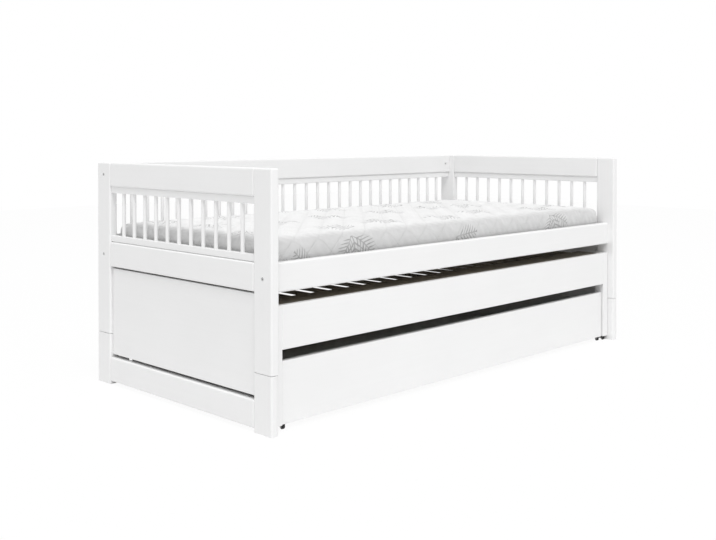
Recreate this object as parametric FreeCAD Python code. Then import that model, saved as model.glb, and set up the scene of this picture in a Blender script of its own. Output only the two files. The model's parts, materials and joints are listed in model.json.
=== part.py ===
import FreeCAD, Part
import os

# Cabin bed with a pull-out bed and a drawer under it. Millimetres.
# X runs along the bed, -Y is the open front, Z is up, and the floor is Z = 0.
# The origin is on the floor under the middle of the bed.

# Mattress and the room left round it
mattress_length = 2000.0
mattress_width = 900.0
mattress_thickness = 120.0
mattress_end_room = 8.0
mattress_side_room = 5.5
mattress_seat_gap = 0.3
mattress_corner_radius = 40.0
mattress_edge_inset = 12.0
mattress_crown_inset = 90.0
mattress_waist = 5.0
# Each ring of the mattress: its height, and how much of the edge inset and of the waist it takes
mattress_rings_shares = (
    (0.00, 1.00, 0.00),
    (0.10, 0.10, 0.20),
    (0.50, 0.00, 1.00),
    (0.82, 0.00, 0.20),
    (0.93, 0.55, 0.00),
)

# Posts and feet
bed_height = 838.0
post_thickness = 32.0
post_width = 88.0
foot_height = 190.0
foot_ease_width = 20.0
foot_ease_depth = 7.0
seam_gap = 2.5
seam_depth = 5.0
edge_round = 6.0
seam_round = 2.5
fine_round = 1.5

# Rails of the two ends
top_rail_height = 90.0
mid_rail_rise = 3.0
mid_rail_height = 92.5
bottom_rail_bottom = 12.0
bottom_rail_height = 91.0

# Closed panel of each end, its tongue held in grooves of the posts and feet
end_panel_thickness = 14.0
end_panel_upper_gap = 7.0
end_panel_lower_gap = 11.5
end_panel_side_gap = 7.0
end_panel_tongue_thickness = 6.0
end_panel_groove_depth = 8.0
groove_clearance = 0.2

# Spindle fields
strip_height = 24.5
strip_thickness = 20.0
spindle_diameter = 14.0
spindle_seat_depth = 9.0
spindle_clearance = 0.1
end_spindle_count = 11
end_spindle_end_room = 73.5
back_spindle_count = 27
back_spindle_end_room = 91.5

# Long rails at the front and the back
rail_thickness = 30.0
long_rail_height = 95.0
back_rail_drop = 50.0

# Slatted base under the mattress
mattress_sink = 45.0
base_slat_count = 16
base_slat_width = 70.0
base_slat_thickness = 16.0
base_slat_end_gap = 3.0
ledger_thickness = 25.0
ledger_height = 28.0

# Bolts, cross nuts and foot pins
bolt_head_diameter = 12.0
bolt_head_height = 6.0
bolt_shank_diameter = 6.0
bolt_reach = 44.0
bolt_socket_across_flats = 5.0
bolt_socket_depth = 4.0
bolt_clearance = 0.3
nut_diameter = 12.0
nut_length = 16.0
nut_from_rail_end = 32.0
nut_clearance = 0.2
thread_clearance = 0.05
foot_pin_diameter = 8.0
foot_pin_length = 60.0
foot_pin_clearance = 0.1

# Pull-out bed
pullout_side_clearance = 2.0
pullout_rear_setback = 64.0
pullout_finger_gap = 41.5
pullout_height = 141.5
front_board_thickness = 22.0
leg_width = 36.0
leg_depth = 45.0
bearer_width = 111.0
bearer_under_holders = 25.0
slat_count = 22
slat_end_room = 62.0
slat_width = 35.0
slat_thickness = 8.0
slat_drop = 5.0
holder_wall = 3.0
holder_length = 98.0
holder_setback = 10.0
holder_end_wall = 4.0
holder_clearance = 0.2

# Drawer
drawer_side_clearance = 6.0
drawer_setback = 8.0
drawer_rear_setback = 110.0
drawer_front_height = 202.5
drawer_finger_gap = 38.5
drawer_board_thickness = 15.0
drawer_side_inset = 5.0
drawer_side_height = 158.0
drawer_floor_thickness = 12.0

# Castors, the same under the legs and under the drawer
castor_plate_thickness = 2.0
castor_plate_gap = 1.0
castor_cheek_thickness = 2.0
castor_cheek_drop = 3.5
castor_cheek_gap = 0.5
castor_length = 10.0
castor_inset = 14.0
wheel_radius = 8.0
wheel_width = 10.0
wheel_edge_round = 1.5
axle_diameter = 4.0
axle_clearance = 0.1
axle_hold_clearance = 0.02

# One overrun carries every cut past the face that it opens
overrun = 1.0

# Two places closer than this are the same place
same_place = 0.01

# Places worked out from the sizes above
bed_length = mattress_length + 2 * (mattress_end_room + post_thickness)
bed_depth = mattress_width + 2 * mattress_side_room + rail_thickness + post_width
half_length = bed_length / 2
half_depth = bed_depth / 2
inner_half_length = half_length - post_thickness
rail_centre_y = half_depth - post_width / 2
rail_inner_y = rail_centre_y - rail_thickness / 2
rail_outer_y = rail_centre_y + rail_thickness / 2
post_inner_y = half_depth - post_width
end_centre_x = half_length - post_thickness / 2
castor_height = 2 * wheel_radius + castor_plate_gap + castor_plate_thickness
castor_cheek_bottom = wheel_radius - castor_cheek_drop
castor_half_width = wheel_width / 2 + castor_cheek_gap + castor_cheek_thickness
drawer_bottom = castor_height
drawer_top = drawer_bottom + drawer_front_height
pullout_bottom = drawer_top + drawer_finger_gap
pullout_top = pullout_bottom + pullout_height
long_rail_bottom = pullout_top + pullout_finger_gap
long_rail_top = long_rail_bottom + long_rail_height
mid_rail_bottom = long_rail_bottom + mid_rail_rise
mid_rail_top = mid_rail_bottom + mid_rail_height
end_panel_bottom = bottom_rail_bottom + bottom_rail_height + end_panel_lower_gap
end_panel_top = mid_rail_bottom - end_panel_upper_gap
top_rail_bottom = bed_height - top_rail_height
long_rail_centre_z = long_rail_bottom + long_rail_height / 2
top_rail_centre_z = bed_height - top_rail_height / 2
base_top = long_rail_top - mattress_sink
base_slat_bottom = base_top - base_slat_thickness

pullout_half_length = inner_half_length - pullout_side_clearance
pullout_front_y = -rail_outer_y
pullout_rear_y = half_depth - pullout_rear_setback
leg_inner_x = pullout_half_length - leg_width
slat_top = pullout_top - slat_drop
slat_bottom = slat_top - slat_thickness
holder_bottom = slat_bottom - holder_wall
holder_top = slat_top + holder_wall
bearer_bottom = holder_bottom - bearer_under_holders

drawer_half_length = leg_inner_x - drawer_side_clearance
drawer_front_y = pullout_front_y + drawer_setback
drawer_box_front_y = drawer_front_y + front_board_thickness
drawer_rear_y = half_depth - drawer_rear_setback
drawer_box_half_length = drawer_half_length - drawer_side_inset
drawer_floor_top = castor_height + drawer_floor_thickness
drawer_side_top = drawer_floor_top + drawer_side_height

X_AXIS = FreeCAD.Vector(1, 0, 0)
Z_AXIS = FreeCAD.Vector(0, 0, 1)


def block(x_ends, y_ends, z_ends):
    """A plain box between two values along each axis, given in either order."""
    low = FreeCAD.Vector(min(x_ends), min(y_ends), min(z_ends))
    high = FreeCAD.Vector(max(x_ends), max(y_ends), max(z_ends))
    size = high - low
    return Part.makeBox(size.x, size.y, size.z, low)


def runs_along(edge, axis):
    """Whether an edge is a straight line along an axis."""
    return isinstance(edge.Curve, Part.Line) and abs(edge.Curve.Direction.dot(axis)) > 0.5


def board(radius, x_ends, y_ends, z_ends):
    """A board with all its edges rounded alike."""
    solid = block(x_ends, y_ends, z_ends)
    return solid.makeFillet(radius, solid.Edges)


def eased_board(axis, x_ends, y_ends, z_ends):
    """A board with its edges along one axis well rounded and the others lightly."""
    solid = block(x_ends, y_ends, z_ends)
    long_edges = [edge for edge in solid.Edges if runs_along(edge, axis)]
    solid = solid.makeFillet(edge_round, long_edges)
    other_edges = [edge for edge in solid.Edges if not runs_along(edge, axis)]
    return solid.makeFillet(fine_round, other_edges)


def rod(radius, start, end):
    """A round rod between two points."""
    run = end - start
    return Part.makeCylinder(radius, run.Length, start, run)


def mirrored(middle, half):
    """The two ends of a length that lies evenly about a middle."""
    return (middle - half, middle + half)


def save(name, *solids):
    """Write one node, as one solid or as a group of separate solids."""
    shape = solids[0] if len(solids) == 1 else Part.makeCompound(list(solids))
    shape.exportStep("parts/" + name + ".step")


def end_panel_tongue(side, clearance):
    """The thin tongue of one end's panel, grown by a clearance to cut its grooves."""
    x_ends = mirrored(side * end_centre_x, end_panel_tongue_thickness / 2 + clearance)
    y_ends = mirrored(0, post_inner_y + end_panel_groove_depth + clearance)
    return block(x_ends, y_ends, (end_panel_bottom - clearance, end_panel_top + clearance))


def end_panel(side):
    """The closed panel of one end: a board that stays clear of the posts, and its tongue."""
    x_ends = mirrored(side * end_centre_x, end_panel_thickness / 2)
    y_ends = mirrored(0, post_inner_y - end_panel_side_gap)
    face = board(fine_round, x_ends, y_ends, (end_panel_bottom, end_panel_top))
    return face.fuse(end_panel_tongue(side, 0))


def bolt_places():
    """Each bolt: the end that it is in, its row front or back, and its height."""
    places = []
    for side in (-1, 1):
        places.append((side, -1, long_rail_centre_z))
        places.append((side, 1, long_rail_centre_z))
        places.append((side, 1, top_rail_centre_z))
    return places


def bolt_rods(place, clearance):
    """Head and shank of one bolt, grown by a clearance to bore its holes."""
    side, row, height = place
    y = row * rail_centre_y
    mouth = FreeCAD.Vector(side * half_length, y, height)
    shoulder = FreeCAD.Vector(side * (half_length - bolt_head_height), y, height)
    tip = FreeCAD.Vector(side * (inner_half_length - bolt_reach - clearance), y, height)
    head = rod(bolt_head_diameter / 2 + clearance, mouth, shoulder)
    shank = rod(bolt_shank_diameter / 2 + clearance, shoulder, tip)
    return head.fuse(shank)


def bolt(place):
    """A bolt with a hexagon socket in its head."""
    side, row, height = place
    mouth = FreeCAD.Vector(side * half_length, row * rail_centre_y, height)
    socket_radius = bolt_socket_across_flats / 3 ** 0.5
    hexagon = Part.makePolygon([
        mouth + FreeCAD.Rotation(X_AXIS, 60 * corner).multVec(Z_AXIS) * socket_radius
        for corner in range(7)
    ])
    socket = Part.Face(hexagon).extrude(X_AXIS * (-side * bolt_socket_depth))
    return bolt_rods(place, 0).cut(socket)


def nut_rod(place, clearance):
    """The cross nut of one bolt, along Y in the middle of its rail."""
    side, row, height = place
    x = side * (inner_half_length - nut_from_rail_end)
    half = nut_length / 2 + clearance
    low, high = mirrored(row * rail_centre_y, half)
    start = FreeCAD.Vector(x, low, height)
    end = FreeCAD.Vector(x, high, height)
    return rod(nut_diameter / 2 + clearance, start, end)


def nut_hole(place):
    """The hole that the cross nut goes in by, open at the inner face of the rail."""
    side, row, height = place
    x = side * (inner_half_length - nut_from_rail_end)
    blind_y = row * (rail_centre_y + nut_length / 2 + nut_clearance)
    mouth_y = row * (rail_inner_y - overrun)
    start = FreeCAD.Vector(x, blind_y, height)
    end = FreeCAD.Vector(x, mouth_y, height)
    return rod(nut_diameter / 2 + nut_clearance, start, end)


def foot_pin(side, row, clearance):
    """The pin that joins a foot to its post, half in each."""
    x = side * end_centre_x
    y = row * rail_centre_y
    half = foot_pin_length / 2 + clearance
    low, high = mirrored(foot_height, half)
    start = FreeCAD.Vector(x, y, low)
    end = FreeCAD.Vector(x, y, high)
    return rod(foot_pin_diameter / 2 + clearance, start, end)


def seam_groove(x_ends, y_ends, bottom):
    """The ring cut from the lower end of a piece, a dark line where it stands on another."""
    z_ends = (bottom, bottom + seam_gap)
    core_x_ends = (min(x_ends) + seam_depth, max(x_ends) - seam_depth)
    core_y_ends = (min(y_ends) + seam_depth, max(y_ends) - seam_depth)
    core = block(core_x_ends, core_y_ends, z_ends)
    return block(x_ends, y_ends, z_ends).cut(core)


def post_board(x_ends, y_ends):
    """A post: all its edges well rounded but those at its foot, where a groove runs round it."""
    solid = block(x_ends, y_ends, (foot_height, bed_height))
    free_edges = [edge for edge in solid.Edges if edge.BoundBox.ZMax > foot_height + same_place]
    solid = solid.makeFillet(edge_round, free_edges)
    return solid.cut(seam_groove(x_ends, y_ends, foot_height))


def foot_easing(side, row):
    """What eases a foot away towards the drawer: the corner of its end face, less a quarter of an oval."""
    middle_x = side * (inner_half_length + foot_ease_width)
    middle_y = row * (half_depth - foot_ease_depth)
    oval = Part.Ellipse(FreeCAD.Vector(middle_x, middle_y, -overrun), foot_ease_width, foot_ease_depth)
    rounding = Part.Face(Part.Wire(oval.toShape())).extrude(Z_AXIS * (foot_height + 2 * overrun))
    corner_x = side * (inner_half_length - overrun)
    corner_y = row * (half_depth + overrun)
    corner = block((corner_x, middle_x), (middle_y, corner_y), (-overrun, foot_height + overrun))
    return corner.cut(rounding)


def make_posts_and_feet():
    """Four posts, each on a foot of its own."""
    for side, end_name in ((-1, "left"), (1, "right")):
        groove = end_panel_tongue(side, groove_clearance)
        for row, row_name in ((-1, "front"), (1, "rear")):
            x_ends = (side * inner_half_length, side * half_length)
            y_ends = (row * post_inner_y, row * half_depth)
            pin_hole = foot_pin(side, row, foot_pin_clearance)
            post = post_board(x_ends, y_ends)
            post = post.cut(groove).cut(pin_hole)
            for place in bolt_places():
                if place[:2] == (side, row):
                    post = post.cut(bolt_rods(place, bolt_clearance))
            foot = eased_board(Z_AXIS, x_ends, y_ends, (0, foot_height))
            foot = foot.cut(foot_easing(side, row)).cut(groove).cut(pin_hole)
            save(end_name + "_" + row_name + "_post", post)
            save(end_name + "_" + row_name + "_foot", foot)


def make_end_boards():
    """Rails and closed panel of each end."""
    levels = (
        ("top_rail", top_rail_bottom, bed_height),
        ("mid_rail", mid_rail_bottom, mid_rail_top),
        ("bottom_rail", bottom_rail_bottom, bottom_rail_bottom + bottom_rail_height),
    )
    for side, end_name in ((-1, "left"), (1, "right")):
        x_ends = (side * inner_half_length, side * half_length)
        y_ends = (-post_inner_y, post_inner_y)
        for name, bottom, top in levels:
            rail = board(edge_round, x_ends, y_ends, (bottom, top))
            save(end_name + "_" + name, rail)
        save(end_name + "_end_panel", end_panel(side))


def spindle_field(count, end_room, half_run, place):
    """Two strips and the spindles between them. place turns a distance along the run into X, Y."""
    lower_top = mid_rail_top + strip_height
    upper_bottom = top_rail_bottom - strip_height
    pitch = 2 * (half_run - end_room) / (count - 1)
    spindles = []
    holes = []
    for number in range(count):
        x, y = place(pitch * number + end_room - half_run)
        start = FreeCAD.Vector(x, y, lower_top - spindle_seat_depth)
        end = FreeCAD.Vector(x, y, upper_bottom + spindle_seat_depth)
        spindles.append(rod(spindle_diameter / 2, start, end))
        holes.append(rod(spindle_diameter / 2 + spindle_clearance, start, end))
    start_x, start_y = place(-half_run)
    end_x, end_y = place(half_run)
    across = strip_thickness / 2
    x_ends = (start_x, end_x) if start_x != end_x else mirrored(start_x, across)
    y_ends = (start_y, end_y) if start_y != end_y else mirrored(start_y, across)
    upper = board(seam_round, x_ends, y_ends, (upper_bottom, top_rail_bottom)).cut(holes)
    lower = board(seam_round, x_ends, y_ends, (mid_rail_top, lower_top)).cut(holes)
    lower = lower.cut(seam_groove(x_ends, y_ends, mid_rail_top))
    return upper, lower, spindles


def make_spindle_fields():
    """The spindle fields of the two ends and of the back."""
    end_layout = (end_spindle_count, end_spindle_end_room, post_inner_y)
    back_layout = (back_spindle_count, back_spindle_end_room, inner_half_length)
    fields = (
        ("left", end_layout, lambda along: (-end_centre_x, along)),
        ("right", end_layout, lambda along: (end_centre_x, along)),
        ("back", back_layout, lambda along: (along, rail_centre_y)),
    )
    for name, layout, place in fields:
        upper, lower, spindles = spindle_field(*layout, place)
        save(name + "_upper_strip", upper)
        save(name + "_lower_strip", lower)
        save(name + "_spindles", *spindles)


def long_rail(row, z_ends):
    """A rail along the bed, bored for the bolts and cross nuts that hold it."""
    x_ends = (-inner_half_length, inner_half_length)
    y_ends = (row * rail_inner_y, row * rail_outer_y)
    rail = eased_board(X_AXIS, x_ends, y_ends, z_ends)
    for place in bolt_places():
        if place[1] == row and min(z_ends) < place[2] < max(z_ends):
            rail = rail.cut(bolt_rods(place, bolt_clearance)).cut(nut_hole(place))
    return rail


def make_long_rails():
    """Front rail, back rail and the top rail of the back, with their hardware."""
    save("front_rail", long_rail(-1, (long_rail_bottom, long_rail_top)))
    # The back rail reaches up to the strip that stands on it, and lower than the front rail
    save("back_rail", long_rail(1, (long_rail_bottom - back_rail_drop, mid_rail_top)))
    save("back_top_rail", long_rail(1, (top_rail_bottom, bed_height)))
    save("frame_bolts", *[bolt(place) for place in bolt_places()])
    nuts = [nut_rod(place, 0).cut(bolt_rods(place, thread_clearance)) for place in bolt_places()]
    save("cross_nuts", *nuts)
    pins = [foot_pin(side, row, 0) for side in (-1, 1) for row in (-1, 1)]
    save("foot_pins", *pins)


def make_slatted_base():
    """Ledgers on the long rails and the slats that lie on them."""
    ledger_top = base_slat_bottom
    for row, name in ((-1, "front_ledger"), (1, "back_ledger")):
        y_ends = (row * rail_inner_y, row * (rail_inner_y - ledger_thickness))
        x_ends = (-inner_half_length, inner_half_length)
        save(name, board(fine_round, x_ends, y_ends, (ledger_top - ledger_height, ledger_top)))
    half_span = rail_inner_y - base_slat_end_gap
    pitch = 2 * inner_half_length / base_slat_count
    slats = []
    for number in range(base_slat_count):
        x = pitch * (number + 0.5) - inner_half_length
        x_ends = mirrored(x, base_slat_width / 2)
        slats.append(board(fine_round, x_ends, (-half_span, half_span), (base_slat_bottom, base_top)))
    save("base_slats", *slats)


def mattress_ring(height, inset, waist):
    """Outline of the mattress at one height: long sides drawn in, corners rounded."""
    x = mattress_length / 2 - inset
    y = mattress_width / 2 - inset
    corner = mattress_corner_radius
    bend = corner * (1 - 0.5 ** 0.5)
    edges = []
    for turn_x, turn_y in ((1, 1), (-1, 1), (-1, -1), (1, -1)):
        on_end = FreeCAD.Vector(turn_x * x, turn_y * (y - corner), height)
        on_side = FreeCAD.Vector(turn_x * (x - corner), turn_y * y, height)
        middle = FreeCAD.Vector(turn_x * (x - bend), turn_y * (y - bend), height)
        start, end = (on_end, on_side) if turn_x == turn_y else (on_side, on_end)
        edges.append(Part.Arc(start, middle, end).toShape())
        if turn_x == turn_y:
            far = FreeCAD.Vector(-turn_x * (x - corner), turn_y * y, height)
            drawn_in = FreeCAD.Vector(0, turn_y * (y - waist), height)
            edges.append(Part.Arc(on_side, drawn_in, far).toShape())
        else:
            far = FreeCAD.Vector(turn_x * x, -turn_y * (y - corner), height)
            drawn_in = FreeCAD.Vector(turn_x * (x - waist), 0, height)
            edges.append(Part.Arc(on_end, drawn_in, far).toShape())
    return Part.Wire(edges)


def make_mattress():
    """Soft mattress: sides drawn in between its corners, top crowned."""
    bottom = base_top + mattress_seat_gap
    rings = []
    for height_share, inset_share, waist_share in mattress_rings_shares:
        height = bottom + mattress_thickness * height_share
        ring_waist = mattress_waist * waist_share + fine_round
        rings.append(mattress_ring(height, mattress_edge_inset * inset_share, ring_waist))
    crown_height = bottom + mattress_thickness
    rings.append(mattress_ring(crown_height, mattress_crown_inset, fine_round))
    save("mattress", Part.makeLoft(rings, True, True))


def castor_housing(x, y):
    """Plate and two cheeks of a castor, bored for its axle."""
    slot_half = wheel_width / 2 + castor_cheek_gap
    plate_bottom = castor_height - castor_plate_thickness
    y_ends = mirrored(y, castor_length / 2)
    body = board(fine_round, mirrored(x, castor_half_width), y_ends, (castor_cheek_bottom, castor_height))
    slot_y_ends = mirrored(y, castor_length / 2 + overrun)
    slot_z_ends = (castor_cheek_bottom - overrun, plate_bottom)
    slot = block(mirrored(x, slot_half), slot_y_ends, slot_z_ends)
    start = FreeCAD.Vector(x - castor_half_width - overrun, y, wheel_radius)
    end = FreeCAD.Vector(x + castor_half_width + overrun, y, wheel_radius)
    axle_hole = rod(axle_diameter / 2 + axle_hold_clearance, start, end)
    return body.cut(slot).cut(axle_hole)


def castor_axle(x, y):
    """The axle of a castor, from cheek to cheek."""
    start = FreeCAD.Vector(x - castor_half_width, y, wheel_radius)
    end = FreeCAD.Vector(x + castor_half_width, y, wheel_radius)
    return rod(axle_diameter / 2, start, end)


def castor_wheel(x, y):
    """A wheel that turns on its axle, its rims rounded."""
    start = FreeCAD.Vector(x - wheel_width / 2, y, wheel_radius)
    end = FreeCAD.Vector(x + wheel_width / 2, y, wheel_radius)
    wheel = rod(wheel_radius, start, end)
    rims = [edge for edge in wheel.Edges if isinstance(edge.Curve, Part.Circle)]
    wheel = wheel.makeFillet(wheel_edge_round, rims)
    return wheel.cut(rod(axle_diameter / 2 + axle_clearance, start, end))


def make_castors(name, x, front_y, rear_y):
    """Four castors: housings, axles, and the wheels in a front and a rear pair."""
    corners = [(side * x, y) for y in (front_y, rear_y) for side in (-1, 1)]
    save(name + "_castor_housings", *[castor_housing(*corner) for corner in corners])
    save(name + "_axles", *[castor_axle(*corner) for corner in corners])
    save(name + "_front_wheels", castor_wheel(-x, front_y), castor_wheel(x, front_y))
    save(name + "_rear_wheels", castor_wheel(-x, rear_y), castor_wheel(x, rear_y))


def make_pullout_frame():
    """Legs, front, back and sides of the pull-out bed."""
    z_ends = (pullout_bottom, pullout_top)
    leg_rows = (
        ("front", pullout_front_y, pullout_front_y + leg_depth),
        ("rear", pullout_rear_y - leg_depth, pullout_rear_y),
    )
    for side, end_name in ((-1, "left"), (1, "right")):
        leg_x_ends = (side * leg_inner_x, side * pullout_half_length)
        for row_name, low_y, high_y in leg_rows:
            leg = board(fine_round, leg_x_ends, (low_y, high_y), (castor_height, pullout_top))
            save("pullout_" + end_name + "_" + row_name + "_leg", leg)
        side_x_ends = (side * (pullout_half_length - front_board_thickness), side * pullout_half_length)
        side_y_ends = (pullout_front_y + leg_depth, pullout_rear_y - leg_depth)
        save("pullout_" + end_name + "_side", board(fine_round, side_x_ends, side_y_ends, z_ends))
    x_ends = (-leg_inner_x, leg_inner_x)
    front_y_ends = (pullout_front_y, pullout_front_y + front_board_thickness)
    back_y_ends = (pullout_rear_y - front_board_thickness, pullout_rear_y)
    save("pullout_front", board(fine_round, x_ends, front_y_ends, z_ends))
    save("pullout_back", board(fine_round, x_ends, back_y_ends, z_ends))


def slat_holder(x, wall_y, inward):
    """A cap for one slat end, open towards the middle of the bed."""
    outer_y = wall_y + inward * holder_setback
    inner_y = outer_y + inward * holder_length
    half_width = slat_width / 2 + holder_wall
    cap = block(mirrored(x, half_width), (outer_y, inner_y), (holder_bottom, holder_top))
    pocket_y_ends = (outer_y + inward * holder_end_wall, inner_y + inward * overrun)
    pocket_z_ends = (slat_bottom - holder_clearance, slat_top + holder_clearance)
    pocket = block(mirrored(x, slat_width / 2 + holder_clearance), pocket_y_ends, pocket_z_ends)
    return cap.cut(pocket)


def holder_notch(x, wall_y, inward):
    """The notch in a bearer for one slat holder, open above and towards the middle of the bed."""
    outer_y = wall_y + inward * (holder_setback - holder_clearance)
    open_y = wall_y + inward * (bearer_width + overrun)
    half_width = slat_width / 2 + holder_wall + holder_clearance
    return block(mirrored(x, half_width), (outer_y, open_y), (holder_bottom, holder_top + overrun))


def make_pullout_base():
    """Bearers, slats and slat holders of the pull-out bed."""
    front_wall_y = pullout_front_y + front_board_thickness
    back_wall_y = pullout_rear_y - front_board_thickness
    first_x = slat_end_room - leg_inner_x
    pitch = -2 * first_x / (slat_count - 1)
    slat_places = [first_x + pitch * number for number in range(slat_count)]
    holders = []
    for name, wall_y, inward in (("front", front_wall_y, 1), ("back", back_wall_y, -1)):
        y_ends = (wall_y, wall_y + inward * bearer_width)
        bearer = board(fine_round, (-leg_inner_x, leg_inner_x), y_ends, (bearer_bottom, holder_top))
        bearer = bearer.cut([holder_notch(x, wall_y, inward) for x in slat_places])
        save("pullout_" + name + "_bearer", bearer)
        holders += [slat_holder(x, wall_y, inward) for x in slat_places]
    slat_setback = holder_setback + holder_end_wall + holder_clearance
    slat_y_ends = (front_wall_y + slat_setback, back_wall_y - slat_setback)
    slat_z_ends = (slat_bottom, slat_top)
    slats = [board(fine_round, mirrored(x, slat_width / 2), slat_y_ends, slat_z_ends) for x in slat_places]
    save("pullout_slats", *slats)
    save("pullout_slat_holders", *holders)


def make_drawer():
    """Front, floor, sides and back of the drawer."""
    front_z_ends = (drawer_bottom, drawer_top)
    front_x_ends = (-drawer_half_length, drawer_half_length)
    front_y_ends = (drawer_front_y, drawer_box_front_y)
    save("drawer_front", board(fine_round, front_x_ends, front_y_ends, front_z_ends))
    box_x_ends = (-drawer_box_half_length, drawer_box_half_length)
    box_y_ends = (drawer_box_front_y, drawer_rear_y)
    save("drawer_floor", board(fine_round, box_x_ends, box_y_ends, (castor_height, drawer_floor_top)))
    side_z_ends = (drawer_floor_top, drawer_side_top)
    inner_half = drawer_box_half_length - drawer_board_thickness
    for side, name in ((-1, "drawer_left_side"), (1, "drawer_right_side")):
        x_ends = (side * inner_half, side * drawer_box_half_length)
        save(name, board(fine_round, x_ends, box_y_ends, side_z_ends))
    back_y_ends = (drawer_rear_y - drawer_board_thickness, drawer_rear_y)
    save("drawer_back", board(fine_round, (-inner_half, inner_half), back_y_ends, side_z_ends))


os.makedirs("parts", exist_ok=True)
make_posts_and_feet()
make_end_boards()
make_spindle_fields()
make_long_rails()
make_slatted_base()
make_mattress()
make_pullout_frame()
make_pullout_base()
leg_castor_x = leg_inner_x + leg_width / 2
make_castors("pullout", leg_castor_x, pullout_front_y + castor_inset, pullout_rear_y - castor_inset)
make_drawer()
drawer_castor_x = drawer_box_half_length - castor_half_width
make_castors("drawer", drawer_castor_x, drawer_front_y + castor_inset, drawer_rear_y - castor_inset)
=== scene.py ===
import json
import math

import bmesh
import bpy
import numpy as np
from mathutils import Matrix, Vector


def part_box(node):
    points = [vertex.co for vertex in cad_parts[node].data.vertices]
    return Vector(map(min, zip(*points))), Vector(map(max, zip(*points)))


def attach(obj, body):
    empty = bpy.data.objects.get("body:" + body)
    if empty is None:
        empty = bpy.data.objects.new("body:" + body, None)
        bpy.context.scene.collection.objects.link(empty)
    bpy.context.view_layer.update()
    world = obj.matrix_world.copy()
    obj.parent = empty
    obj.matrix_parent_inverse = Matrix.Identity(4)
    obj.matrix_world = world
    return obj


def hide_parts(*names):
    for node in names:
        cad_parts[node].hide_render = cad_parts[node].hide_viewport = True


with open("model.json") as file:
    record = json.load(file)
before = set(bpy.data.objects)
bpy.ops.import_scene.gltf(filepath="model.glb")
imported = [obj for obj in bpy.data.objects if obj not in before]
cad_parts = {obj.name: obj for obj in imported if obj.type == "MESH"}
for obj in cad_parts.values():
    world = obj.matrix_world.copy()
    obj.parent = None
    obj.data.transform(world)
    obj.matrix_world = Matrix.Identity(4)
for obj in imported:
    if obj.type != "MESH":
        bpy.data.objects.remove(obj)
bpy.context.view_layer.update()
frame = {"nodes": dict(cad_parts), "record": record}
scene = bpy.context.scene
scene.view_settings.view_transform = "Standard"

# The photograph's frame in pixels, and the camera that its straight edges give, in metres and degrees
PHOTO_WIDTH, PHOTO_HEIGHT = 716, 540
FOCAL_PIXELS = 972.7
OPTICAL_AXIS_ROW = 147.9
CAMERA_PLACE = (-2.9871, -2.8203, 0.9378)
CAMERA_TURN = 45.275
CAMERA_DIP = 0.689
SENSOR_WIDTH = 36.0

# Light: an even surround, and one soft lamp high at the front left. Metres, watts and surround strength
AMBIENT = 0.56
LAMP_PLACE = (-4.69, -6.9, 15.27)
LAMP_TARGET = (0.0, 0.0, 0.5)
LAMP_SIZE = 8.24
LAMP_POWER = 1855.0
FLOOR_HALF_SIZE = 9.0
FLOOR_PAINT = 0.9
FLOOR_GLOW_SHARE = 0.95

# Mattress: its rounded edges, the diamonds of its quilting and the room that they puff up into, in metres
TOP_EDGE_RADIUS = 0.030
BOTTOM_EDGE_RADIUS = 0.016
DIAMOND_LENGTH = 0.111
DIAMOND_WIDTH = 0.113
CELLS_PER_DIAMOND = 10
LOOSE_SIDE_SHARE = 0.6
TOP_PUFF_ROOM = 0.009
SIDE_PUFF_ROOM = 0.004
MOST_PUFF = 0.012
POINT_MASS = 0.02
PUFF_PRESSURE = 26.0
SIMULATED_FRAMES = 20
STITCH_LENGTH = 0.004
STITCH_HALF_WIDTH = 0.003
SEAM_DEPTH = 0.0014
BETWEEN_STITCHES_SHARES = (0.05, 0.3)
LEAST_STITCH_SHARE = 0.4
# How far onto the top the sides' painted shade fades in, in metres
PAINTED_SHADE_FADE_WIDTH = 0.08

# Print on the mattress: sprays of three fronds each, in metres, degrees and shares
SPRAY_SPACING = 0.31
SPRAY_RANDOM_SHARE = 0.35
SPRAY_ROOT = 0.075
FROND_LENGTH = 0.166
FROND_HALF_WIDTH = 0.057
FROND_TURNS = (-40.0, 5.0, 46.0)
FROND_SIZE_SHARES = (0.80, 1.0, 0.68)
LEAFLET_STEP = 0.021
LEAFLET_LEAN = 0.8
LEAFLET_FILL_SHARE = 0.19
STEM_HALF_WIDTH = 0.0022
STEM_ROOT_FADE = 0.004
STEM_TIP_SHARE = 0.95
STEM_EDGE_SHARES = (1.5, 0.5)
FIRST_LEAFLET_SHARES = (0.12, 0.15)
LAST_LEAFLET_SHARES = (1.0, 0.97)
LEAFLET_TIP_SHARES = (1.0, 0.95)
LEAFLET_EDGE_SHARE = 0.05
SWELL_POWER = 0.75
LEAST_SWELL_SHARE = 0.001
TAPER_POWER = 3.0
WORN_INK_SHARES = (0.5, 0.95)

# A noise field lies mostly between these two values
NOISE_LOW, NOISE_HIGH = 0.3, 0.7


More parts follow.
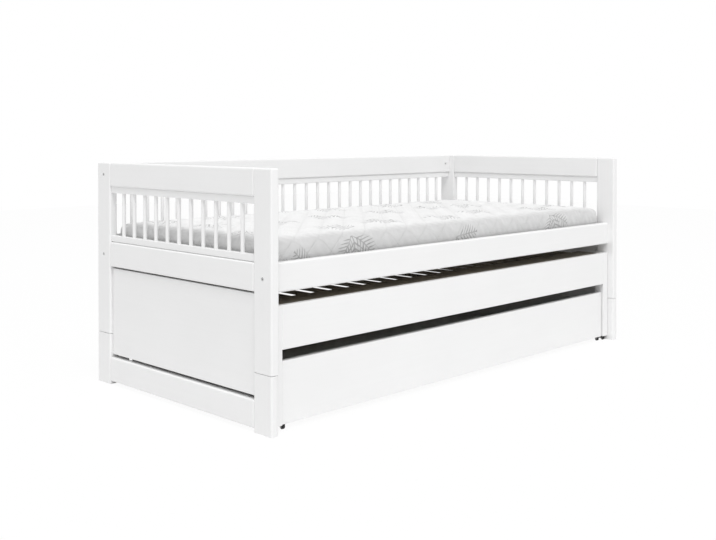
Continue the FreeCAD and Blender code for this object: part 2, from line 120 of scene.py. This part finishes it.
class Graph:
    """The node tree of a material or of the world, with short ways to add nodes and link them."""

    def __init__(self, owner):
        owner.use_nodes = True
        self.owner = owner
        self.tree = owner.node_tree

    def feed(self, socket, value):
        """Link a socket to another node's output, or give it a value."""
        if isinstance(value, bpy.types.NodeSocket):
            self.tree.links.new(value, socket)
        else:
            socket.default_value = value

    def node(self, kind, inputs, **settings):
        """Add a node with its settings, and feed its inputs by name or number."""
        made = self.tree.nodes.new(kind)
        for name, value in settings.items():
            setattr(made, name, value)
        for key, value in inputs.items():
            self.feed(made.inputs[key], value)
        return made

    def math(self, operation, *values):
        """The result of one sum."""
        return self.node("ShaderNodeMath", dict(enumerate(values)), operation=operation).outputs[0]

    def step(self, value, low, high, start=0.0, end=1.0):
        """A smooth change from start to end while the value goes from low to high."""
        inputs = {"Value": value, "From Min": low, "From Max": high, "To Min": start, "To Max": end}
        return self.node("ShaderNodeMapRange", inputs, interpolation_type="SMOOTHSTEP").outputs[0]

    def spread(self, noise, start=0.0, end=1.0):
        """A value between start and end that a noise field leads."""
        return self.step(noise, NOISE_LOW, NOISE_HIGH, start, end)

    def noise(self, vector, per_metre, detail=2.0, roughness=0.5):
        """A noise field with so many waves to the metre."""
        inputs = {"Vector": vector, "Scale": per_metre, "Detail": detail, "Roughness": roughness}
        return self.node("ShaderNodeTexNoise", inputs).outputs["Fac"]

    def place(self):
        """Where a point lies on its piece, in metres."""
        return self.node("ShaderNodeTexCoord", {}).outputs["Object"]

    def grain(self, axis, along, across, detail=5.0, roughness=0.6):
        """A noise field drawn out along one axis, with so many waves to the metre each way."""
        stretch = [across, across, across]
        stretch[axis] = along
        drawn = self.node("ShaderNodeMapping", {"Vector": self.place(), "Scale": stretch}).outputs[0]
        return self.noise(drawn, 1.0, detail, roughness)

    def mix(self, factor, first, second):
        """A colour between two colours."""
        inputs = {0: factor, 6: first, 7: second}
        return self.node("ShaderNodeMix", inputs, data_type="RGBA").outputs[2]

    def bump(self, height, distance, below=None):
        """A bump of a height field, on top of another bump if one is given."""
        inputs = {"Height": height, "Distance": distance}
        if below is not None:
            inputs["Normal"] = below
        return self.node("ShaderNodeBump", inputs).outputs[0]

    def surface(self, **inputs):
        """Feed the shader's own sockets. An underscore in a name stands for a space."""
        shader = self.tree.nodes["Principled BSDF"]
        for name, value in inputs.items():
            self.feed(shader.inputs[name.replace("_", " ")], value)
        return self.owner


def material_graph(name):
    """A new material's node tree."""
    return Graph(bpy.data.materials.new(name))


def grey(level):
    """A neutral colour."""
    return (level, level, level, 1.0)


def white_lacquer(axis):
    """White satin lacquer: a trace of the grain under a fine sprayed texture."""
    graph = material_graph("white_lacquer_" + "xyz"[axis])
    clouds = graph.noise(graph.place(), per_metre=4.0, detail=3.0)
    grain = graph.grain(axis, along=2.5, across=90.0)
    spray = graph.noise(graph.place(), per_metre=900.0, detail=1.0)
    grain_share = 0.4
    tone = graph.mix(grain_share, clouds, grain)
    colour = graph.mix(graph.spread(tone), grey(0.868), grey(0.888))
    normal = graph.bump(spray, distance=0.00004, below=graph.bump(grain, distance=0.00008))
    roughness = graph.spread(clouds, start=0.36, end=0.44)
    return graph.surface(
        Base_Color=colour, Roughness=roughness, Normal=normal, Coat_Weight=0.15, Coat_Roughness=0.25)


def slat_wood(axis):
    """Pale planed wood with long grain lines between its growth rings."""
    graph = material_graph("slat_wood_" + "xyz"[axis])
    rings_across = 14.0
    bend = graph.grain(axis, along=1.2, across=14.0, detail=3.0)
    grain = graph.grain(axis, along=3.0, across=260.0)
    ring = graph.math("FRACT", graph.math("MULTIPLY", bend, rings_across))
    late_wood = graph.step(graph.math("PINGPONG", ring, 0.5), low=0.38, high=0.0)
    grain_share = 0.55
    figure = graph.mix(grain_share, late_wood, grain)
    early_tone = (0.88, 0.83, 0.73, 1.0)
    late_tone = (0.76, 0.67, 0.53, 1.0)
    colour = graph.mix(graph.spread(figure), early_tone, late_tone)
    roughness = graph.spread(grain, start=0.5, end=0.66)
    return graph.surface(Base_Color=colour, Roughness=roughness, Normal=graph.bump(grain, distance=0.00015))


def stained_wood(axis):
    """Dark brown stained wood."""
    graph = material_graph("stained_wood_" + "xyz"[axis])
    grain = graph.grain(axis, along=3.0, across=200.0)
    dark = (0.20, 0.172, 0.138, 1.0)
    light = (0.32, 0.278, 0.227, 1.0)
    colour = graph.mix(grain, dark, light)
    roughness = graph.spread(grain, start=0.5, end=0.7)
    return graph.surface(Base_Color=colour, Roughness=roughness, Normal=graph.bump(grain, distance=0.0002))


def drawer_board(axis):
    """Board with a fine pressed grain, its grey painted shade for the dim inside of the drawer."""
    graph = material_graph("drawer_board_" + "xyz"[axis])
    grain = graph.grain(axis, along=6.0, across=300.0)
    clouds = graph.noise(graph.place(), per_metre=6.0)
    # Painted shade: the boards are grey so that the inside of the drawer reads dark through the gaps
    colour = graph.mix(grain, grey(0.54), grey(0.64))
    roughness = graph.spread(clouds, start=0.45, end=0.6)
    return graph.surface(Base_Color=colour, Roughness=roughness, Normal=graph.bump(grain, distance=0.0001))


def zinc_steel(axis):
    """Zinc plated steel with a fine turned texture."""
    graph = material_graph("zinc_steel_" + "xyz"[axis])
    turned = graph.grain(axis, along=1500.0, across=60.0)
    spangle = graph.noise(graph.place(), per_metre=400.0)
    colour = graph.mix(spangle, grey(0.50), grey(0.66))
    roughness = graph.spread(turned, start=0.24, end=0.40)
    normal = graph.bump(turned, distance=0.00003)
    return graph.surface(Base_Color=colour, Roughness=roughness, Metallic=1.0, Normal=normal)


def moulded_plastic(name, axis, dark, light):
    """Moulded plastic between two colours: fine pits, and flow marks along the piece."""
    graph = material_graph(name + "_" + "xyz"[axis])
    pits = graph.noise(graph.place(), per_metre=1400.0)
    flow = graph.grain(axis, along=8.0, across=60.0)
    colour = graph.mix(flow, dark, light)
    roughness = graph.spread(pits, start=0.38, end=0.55)
    return graph.surface(Base_Color=colour, Roughness=roughness, Normal=graph.bump(pits, distance=0.00006))


def black_plastic(axis):
    """The black plastic of the castor housings."""
    return moulded_plastic("black_plastic", axis, grey(0.004), grey(0.010))


def brown_plastic(axis):
    """The dark brown plastic of the slat holders."""
    dark = (0.20, 0.173, 0.142, 1.0)
    light = (0.28, 0.247, 0.206, 1.0)
    return moulded_plastic("brown_plastic", axis, dark, light)


def black_wheel(axis):
    """Black wheel with a scuffed running face."""
    graph = material_graph("black_wheel_" + "xyz"[axis])
    scuffs = graph.grain(axis, along=900.0, across=120.0)
    colour = graph.mix(graph.spread(scuffs), grey(0.004), grey(0.012))
    roughness = graph.spread(scuffs, start=0.4, end=0.6)
    return graph.surface(Base_Color=colour, Roughness=roughness, Normal=graph.bump(scuffs, distance=0.00005))


def frond(graph, spot, turn, size_share):
    """How much ink one frond puts on a spot, given from its root: a stem with leaflets that lean forward."""
    length = FROND_LENGTH * size_share
    rotated = graph.node("ShaderNodeVectorRotate", {"Vector": spot, "Angle": turn}, rotation_type="Z_AXIS")
    parts = graph.node("ShaderNodeSeparateXYZ", {"Vector": rotated.outputs[0]})
    along = parts.outputs[0]
    across = graph.math("ABSOLUTE", parts.outputs[1])
    root = graph.math("SUBTRACT", along, graph.math("MULTIPLY", across, LEAFLET_LEAN))
    root_share = graph.math("DIVIDE", root, length)
    after_first = graph.step(root_share, *FIRST_LEAFLET_SHARES)
    before_last = graph.step(root_share, *LAST_LEAFLET_SHARES)
    has_leaflet = graph.math("MULTIPLY", after_first, before_last)
    swell = graph.math("SINE", graph.math("MULTIPLY", graph.math("POWER", root_share, SWELL_POWER), math.pi))
    swell = graph.math("MAXIMUM", swell, LEAST_SWELL_SHARE)
    reach = graph.math("MULTIPLY", swell, FROND_HALF_WIDTH * size_share)
    out_share = graph.math("DIVIDE", across, reach)
    beat = graph.math("FRACT", graph.math("DIVIDE", root, LEAFLET_STEP * size_share))
    off_rib = graph.math("ABSOLUTE", graph.math("SUBTRACT", beat, 0.5))
    taper = graph.math("SUBTRACT", 1.0, graph.math("POWER", out_share, TAPER_POWER))
    fill = graph.math("MULTIPLY", taper, LEAFLET_FILL_SHARE)
    leaflet = graph.step(graph.math("SUBTRACT", fill, off_rib), -LEAFLET_EDGE_SHARE, LEAFLET_EDGE_SHARE)
    leaflet = graph.math("MULTIPLY", leaflet, graph.step(out_share, *LEAFLET_TIP_SHARES))
    leaflet = graph.math("MULTIPLY", leaflet, has_leaflet)
    after_root = graph.step(along, 0.0, STEM_ROOT_FADE)
    before_tip = graph.step(along, length, STEM_TIP_SHARE * length)
    on_stem = graph.math("MULTIPLY", after_root, before_tip)
    stem_edge = [share * STEM_HALF_WIDTH for share in STEM_EDGE_SHARES]
    stem = graph.math("MULTIPLY", graph.step(across, *stem_edge), on_stem)
    return graph.math("MAXIMUM", leaflet, stem)


def spray_ink(graph, flat):
    """How much ink the whole print puts on a place of the cloth."""
    inputs = {"Vector": flat, "Scale": 1.0 / SPRAY_SPACING, "Randomness": SPRAY_RANDOM_SHARE}
    cells = graph.node("ShaderNodeTexVoronoi", inputs, voronoi_dimensions="2D", feature="F1")
    middle = cells.outputs["Position"]
    spot = graph.node("ShaderNodeVectorMath", {0: flat, 1: middle}, operation="SUBTRACT").outputs[0]
    chance = graph.node("ShaderNodeSeparateColor", {"Color": cells.outputs["Color"]})
    heading = graph.math("MULTIPLY", chance.outputs[0], math.tau)
    turned = graph.node("ShaderNodeVectorRotate", {"Vector": spot, "Angle": heading}, rotation_type="Z_AXIS")
    shifted = {0: turned.outputs[0], 1: (SPRAY_ROOT, 0.0, 0.0)}
    from_root = graph.node("ShaderNodeVectorMath", shifted, operation="ADD").outputs[0]
    marks = [
        frond(graph, from_root, math.radians(turn), size_share)
        for turn, size_share in zip(FROND_TURNS, FROND_SIZE_SHARES)
    ]
    ink = graph.math("MAXIMUM", marks[0], graph.math("MAXIMUM", marks[1], marks[2]))
    worn = graph.noise(flat, per_metre=55.0, detail=3.0)
    return graph.math("MULTIPLY", ink, graph.spread(worn, *WORN_INK_SHARES))


def seam_line(graph, flat, length, width, sign):
    """A row of stitches along one family of the quilting's seams, as a height below the cloth."""
    parts = graph.node("ShaderNodeSeparateXYZ", {"Vector": flat})
    over = graph.math("DIVIDE", parts.outputs[0], length)
    up = graph.math("MULTIPLY", parts.outputs[1], sign / width)
    off_seam = graph.math("PINGPONG", graph.math("ADD", over, up), 0.5)
    metres_off = graph.math("MULTIPLY", off_seam, length * width / math.hypot(length, width))
    groove = graph.step(metres_off, STITCH_HALF_WIDTH, 0.0)
    stitch = graph.math("PINGPONG", graph.math("DIVIDE", parts.outputs[1], STITCH_LENGTH), 0.5)
    pulled = graph.step(stitch, *BETWEEN_STITCHES_SHARES, start=LEAST_STITCH_SHARE)
    return graph.math("MULTIPLY", groove, pulled)


def painted_side_shade(graph, flat, half):
    """0 on the top of the cover, rising to 1 on its sides, by the place on the cloth laid flat: the sides'
    painted shade against the top's painted sheen.
    """
    parts = graph.node("ShaderNodeSeparateXYZ", {"Vector": flat})
    past = [
        graph.math("SUBTRACT", graph.math("ABSOLUTE", parts.outputs[axis]), half[axis])
        for axis in range(2)
    ]
    return graph.step(graph.math("MAXIMUM", *past), -PAINTED_SHADE_FADE_WIDTH, 0.0)


def mattress_ticking(length, width, half):
    """Pale knitted ticking with sprays of grey leaves, quilted in diamonds of a length and a width.

    The top is painted lighter than the sides: painted sheen on the top and painted shade on the sides, faded
    in across the top's edge. Half the size of the top is given."""
    graph = material_graph("mattress_ticking")
    flat = graph.node("ShaderNodeUVMap", {}, uv_map="cloth").outputs[0]
    wales = graph.node("ShaderNodeTexWave", {"Vector": flat, "Scale": 190.0}, bands_direction="X")
    courses = graph.node("ShaderNodeTexWave", {"Vector": flat, "Scale": 150.0}, bands_direction="Y")
    loops = graph.math("MULTIPLY", wales.outputs["Fac"], courses.outputs["Fac"])
    fluff = graph.noise(flat, per_metre=420.0, detail=3.0)
    clouds = graph.noise(flat, per_metre=9.0, detail=3.0)
    seams = graph.math(
        "MAXIMUM", seam_line(graph, flat, length, width, 1), seam_line(graph, flat, length, width, -1))
    # Painted light: the top's ground is painted light as sheen, and the sides' ground is painted grey as
    # shade
    painted_sheen_top = graph.mix(graph.spread(clouds), grey(0.81), grey(0.87))
    painted_shade_border = graph.mix(graph.spread(clouds), grey(0.54), grey(0.58))
    ground_with_painted_light = graph.mix(painted_side_shade(graph, flat, half), painted_sheen_top, painted_shade_border)
    ink = grey(0.15)
    colour = graph.mix(spray_ink(graph, flat), ground_with_painted_light, ink)
    normal = graph.bump(loops, distance=0.0004, below=graph.bump(fluff, distance=0.0003))
    normal = graph.bump(seams, -SEAM_DEPTH, below=normal)
    roughness = graph.spread(fluff, start=0.78, end=0.92)
    return graph.surface(
        Base_Color=colour, Roughness=roughness, Normal=normal,
        Sheen_Weight=0.5, Sheen_Roughness=0.8, Coat_Weight=1.0, Coat_Roughness=0.3,
    )


FINISHES = {
    "white_lacquer": white_lacquer,
    "slat_wood": slat_wood,
    "stained_wood": stained_wood,
    "drawer_board": drawer_board,
    "steel": zinc_steel,
    "black_plastic": black_plastic,
    "brown_plastic": brown_plastic,
    "black_wheel": black_wheel,
}


def long_axis(node):
    """The axis that the grain of a node runs along. Rows of like pieces run across their row."""
    low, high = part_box(node)
    size = high - low
    if node.endswith("spindles"):
        return 2
    if node.endswith("slats"):
        return 1
    return max(range(3), key=lambda axis: size[axis])


def finish_cad_nodes():
    """Give each CAD node whose slot has a finish here that finish, with the grain along the piece."""
    made = {}
    for subpart in frame["record"]["subparts"]:
        node, slot = subpart["node"], subpart["material_slot"]
        if slot not in FINISHES:
            continue
        axis = long_axis(node)
        if (slot, axis) not in made:
            made[slot, axis] = FINISHES[slot](axis)
        piece = frame["nodes"][node]
        piece.data.materials.clear()
        piece.data.materials.append(made[slot, axis])


class WrappedGrid:
    """A grid wrapped over a rounded box. Its cells follow the diamonds of the quilting.

    A grid place is a column along X, a row along Y and a level down from the top."""

    def __init__(self, low, high):
        self.middle = (low + high) / 2
        self.half = (high - low) / 2
        self.columns = CELLS_PER_DIAMOND * 2 * round(self.half.x / DIAMOND_LENGTH)
        self.rows = CELLS_PER_DIAMOND * 2 * round(self.half.y / DIAMOND_WIDTH)
        self.cell_x = 2 * self.half.x / self.columns
        self.cell_y = 2 * self.half.y / self.rows
        self.levels = round(2 * self.half.z / self.cell_y)
        self.cell_z = 2 * self.half.z / self.levels
        self.shape = bmesh.new()
        self.cloth = self.shape.loops.layers.uv.new("cloth")
        self.verts = {}

    def flat_point(self, place):
        """A grid place on the box before its edges are rounded, from the middle of the box."""
        column, row, level = place
        x = column * self.cell_x - self.half.x
        y = row * self.cell_y - self.half.y
        return Vector((x, y, self.half.z - level * self.cell_z))

    def rounded_point(self, place):
        """A grid place on the box with its edges and corners rounded."""
        point = self.flat_point(place)
        height_share = (point.z / self.half.z + 1) / 2
        radius = BOTTOM_EDGE_RADIUS + (TOP_EDGE_RADIUS - BOTTOM_EDGE_RADIUS) * height_share
        core = Vector()
        for axis in range(3):
            most = self.half[axis] - radius
            core[axis] = max(-most, min(most, point[axis]))
        return self.middle + core + (point - core).normalized() * radius

    def vert(self, place):
        """The vertex at a grid place, made once."""
        if place not in self.verts:
            self.verts[place] = self.shape.verts.new(self.rounded_point(place))
        return self.verts[place]

    def face(self, places, outward):
        """A face over grid places, with its place on the cloth laid out flat."""
        made = self.shape.faces.new([self.vert(place) for place in places])
        for loop, place in zip(made.loops, places):
            point = self.flat_point(place)
            drop = self.half.z - point.z
            loop[self.cloth].uv = (point.x + outward[0] * drop, point.y + outward[1] * drop)

    def sides(self):
        """The plan places round the box, a side at a time, each with the way that it faces."""
        columns = list(range(self.columns + 1))
        rows = list(range(self.rows + 1))
        return (
            ([(column, 0) for column in columns], (0, -1)),
            ([(self.columns, row) for row in rows], (1, 0)),
            ([(column, self.rows) for column in reversed(columns)], (0, 1)),
            ([(0, row) for row in reversed(rows)], (-1, 0)),
        )

    def fill(self):
        """Make every face: the top, the bottom and the four sides."""
        for column in range(self.columns):
            for row in range(self.rows):
                square = ((column, row), (column + 1, row), (column + 1, row + 1), (column, row + 1))
                self.face([(*place, 0) for place in square], (0, 0))
                self.face([(*place, self.levels) for place in reversed(square)], (0, 0))
        for plan_places, outward in self.sides():
            for start, end in zip(plan_places, plan_places[1:]):
                for level in range(self.levels):
                    lower = level + 1
                    self.face(((*start, lower), (*end, lower), (*end, level), (*start, level)), outward)

    def held_places(self):
        """The vertices that are sewn down, and those of the lower part, which keeps its shape."""
        unfolded = {}
        for column in range(self.columns + 1):
            for row in range(self.rows + 1):
                unfolded[column, row, 0] = (column, row)
        for plan_places, outward in self.sides():
            for column, row in plan_places:
                for level in range(1, round(LOOSE_SIDE_SHARE * self.levels)):
                    unfolded[column, row, level] = (column + outward[0] * level, row + outward[1] * level)
        held = []
        for place, vert in self.verts.items():
            column, row = unfolded.get(place, (0, 0))
            if (column + row) % CELLS_PER_DIAMOND == 0 or (column - row) % CELLS_PER_DIAMOND == 0:
                held.append(vert.index)
        return held


def build_mattress():
    """The mattress: quilted cloth round a box, blown up a little between its seams."""
    low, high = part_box("mattress")
    side_room = Vector((SIDE_PUFF_ROOM, SIDE_PUFF_ROOM, 0.0))
    grid = WrappedGrid(low + side_room, high - side_room - Vector((0.0, 0.0, TOP_PUFF_ROOM)))
    grid.fill()
    grid.shape.verts.index_update()
    held = grid.held_places()
    mesh = bpy.data.meshes.new("mattress_cover")
    grid.shape.to_mesh(mesh)
    grid.shape.free()
    piece = bpy.data.objects.new("mattress_cover", mesh)
    scene.collection.objects.link(piece)
    puff(piece, held, low, high)
    diamond = (CELLS_PER_DIAMOND * grid.cell_x, CELLS_PER_DIAMOND * grid.cell_y)
    mesh.materials.append(mattress_ticking(*diamond, grid.half))
    mesh.shade_smooth()
    smooth = piece.modifiers.new("smooth", "SUBSURF")
    smooth.levels = 1
    smooth.render_levels = 1
    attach(piece, "bed_frame")
    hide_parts("mattress")


def vertex_places(mesh):
    """The places of a mesh's vertices, a row each."""
    places = np.zeros(len(mesh.vertices) * 3)
    mesh.vertices.foreach_get("co", places)
    return places.reshape(-1, 3)


def puff(piece, held, low, high):
    """Blow the cloth up between the held places, keeping each point near its start and inside a box."""
    group = piece.vertex_groups.new(name="seams")
    group.add(held, 1.0, "REPLACE")
    cloth = piece.modifiers.new("puff", "CLOTH")
    cloth.settings.vertex_group_mass = "seams"
    cloth.settings.mass = POINT_MASS
    cloth.settings.tension_stiffness = 8
    cloth.settings.compression_stiffness = 8
    cloth.settings.shear_stiffness = 4
    cloth.settings.bending_stiffness = 0.3
    cloth.settings.shrink_min = -0.03
    cloth.settings.use_pressure = True
    cloth.settings.uniform_pressure_force = PUFF_PRESSURE
    cloth.settings.effector_weights.gravity = 0
    cloth.collision_settings.use_collision = False
    cloth.point_cache.frame_end = SIMULATED_FRAMES
    for number in range(1, SIMULATED_FRAMES + 1):
        scene.frame_set(number)
    blown = piece.evaluated_get(bpy.context.evaluated_depsgraph_get())
    start = vertex_places(piece.data)
    move = vertex_places(blown.data) - start
    piece.modifiers.remove(cloth)
    piece.vertex_groups.remove(group)
    scene.frame_set(1)
    distance = np.linalg.norm(move, axis=1, keepdims=True)
    move *= MOST_PUFF / np.maximum(distance, MOST_PUFF)
    piece.data.vertices.foreach_set("co", np.clip(start + move, low, high).ravel())
    piece.data.update()


def background_rays(graph):
    """1 for rays that show the background: straight from the camera, mirrored or through glass."""
    rays = graph.node("ShaderNodeLightPath", {})
    seen = graph.math("MAXIMUM", rays.outputs["Is Camera Ray"], rays.outputs["Is Glossy Ray"])
    return graph.math("MAXIMUM", seen, rays.outputs["Is Transmission Ray"])


def build_floor():
    """A plain white floor that keeps a faint shadow."""
    half = FLOOR_HALF_SIZE
    mesh = bpy.data.meshes.new("floor")
    corners = [(-half, -half, 0.0), (half, -half, 0.0), (half, half, 0.0), (-half, half, 0.0)]
    mesh.from_pydata(corners, [], [(0, 1, 2, 3)])
    floor = bpy.data.objects.new("floor", mesh)
    scene.collection.objects.link(floor)
    graph = material_graph("floor_paint")
    graph.surface(Base_Color=grey(FLOOR_PAINT), Roughness=0.9)
    share = graph.math("MULTIPLY", background_rays(graph), FLOOR_GLOW_SHARE)
    paint = graph.tree.nodes["Principled BSDF"].outputs[0]
    glow = graph.node("ShaderNodeEmission", {}).outputs[0]
    both = graph.node("ShaderNodeMixShader", {0: share, 1: paint, 2: glow}).outputs[0]
    graph.feed(graph.tree.nodes["Material Output"].inputs["Surface"], both)
    mesh.materials.append(graph.owner)


def build_surround():
    """White all round for the camera, and an even soft light on the object."""
    scene.world = bpy.data.worlds.new("surround")
    graph = Graph(scene.world)
    inputs = {"Value": background_rays(graph), "To Min": AMBIENT, "To Max": 1.0}
    strength = graph.node("ShaderNodeMapRange", inputs).outputs[0]
    background = graph.tree.nodes["Background"]
    graph.feed(background.inputs["Color"], grey(1.0))
    graph.feed(background.inputs["Strength"], strength)


def build_lamp():
    """One large square lamp that faces the bed."""
    light = bpy.data.lights.new("soft_box", "AREA")
    light.shape = "SQUARE"
    light.size = LAMP_SIZE
    light.energy = LAMP_POWER
    lamp = bpy.data.objects.new("soft_box", light)
    lamp.location = LAMP_PLACE
    lamp.rotation_euler = (Vector(LAMP_TARGET) - Vector(LAMP_PLACE)).to_track_quat("-Z", "Y").to_euler()
    scene.collection.objects.link(lamp)


def build_camera():
    """The camera at the photograph's viewpoint, its frame shifted so that uprights stay parallel."""
    lens = bpy.data.cameras.new("camera")
    lens.sensor_width = SENSOR_WIDTH
    lens.lens = FOCAL_PIXELS / PHOTO_WIDTH * SENSOR_WIDTH
    lens.shift_y = (OPTICAL_AXIS_ROW - PHOTO_HEIGHT / 2) / PHOTO_WIDTH
    camera = bpy.data.objects.new("camera", lens)
    camera.location = CAMERA_PLACE
    camera.rotation_euler = (math.radians(90 - CAMERA_DIP), 0.0, math.radians(-CAMERA_TURN))
    scene.collection.objects.link(camera)
    scene.camera = camera


finish_cad_nodes()
build_mattress()
build_floor()
build_surround()
build_lamp()
build_camera()
